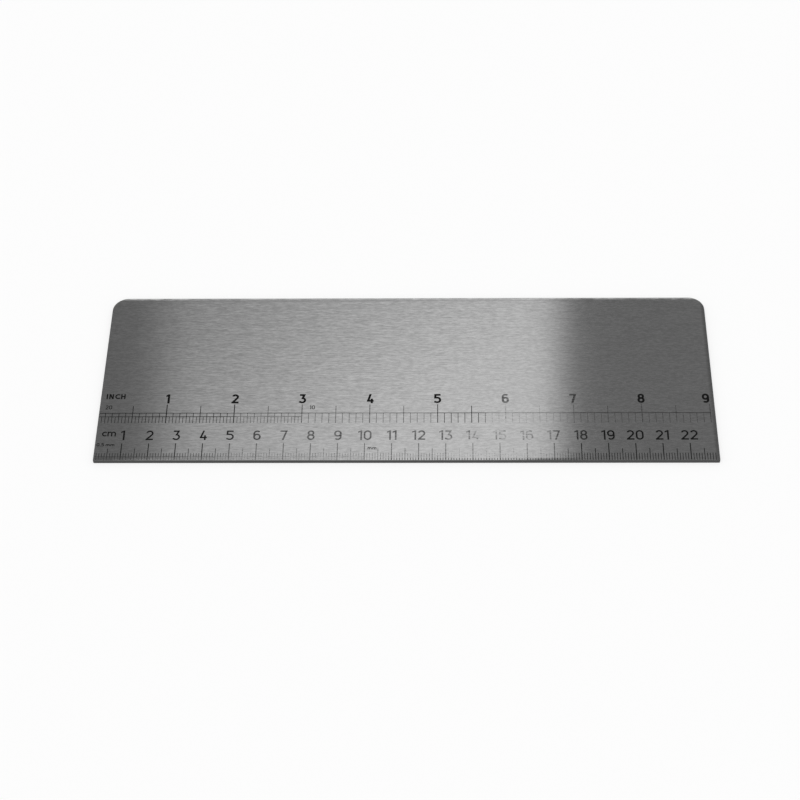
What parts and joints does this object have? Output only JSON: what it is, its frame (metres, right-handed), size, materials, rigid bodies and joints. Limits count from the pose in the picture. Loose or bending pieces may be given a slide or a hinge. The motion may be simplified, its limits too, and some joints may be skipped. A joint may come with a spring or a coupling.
{
  "type": "icing smoother",
  "caption": "Flat brushed steel icing smoother with two large and two small corners and black etched centimetre and inch scales along its straight working edge.",
  "frame": {"origin": "centre of the blade's back face, the face it lies on", "axes": "+X along the blade from the zero end of its scales to the far end, +Y from the working edge with the scales to the grip edge with the large corners, +Z out of the face that carries the scales"},
  "size_m": [0.2304, 0.08, 0.0015],
  "materials": {
    "steel": "brushed lengthwise",
    "scale_black": "black etched filling, low sheen"
  },
  "bodies": {
    "root": {"blade": "steel", "centimetre_scale": "scale_black", "inch_scale": "scale_black"}
  },
  "joints": []
}
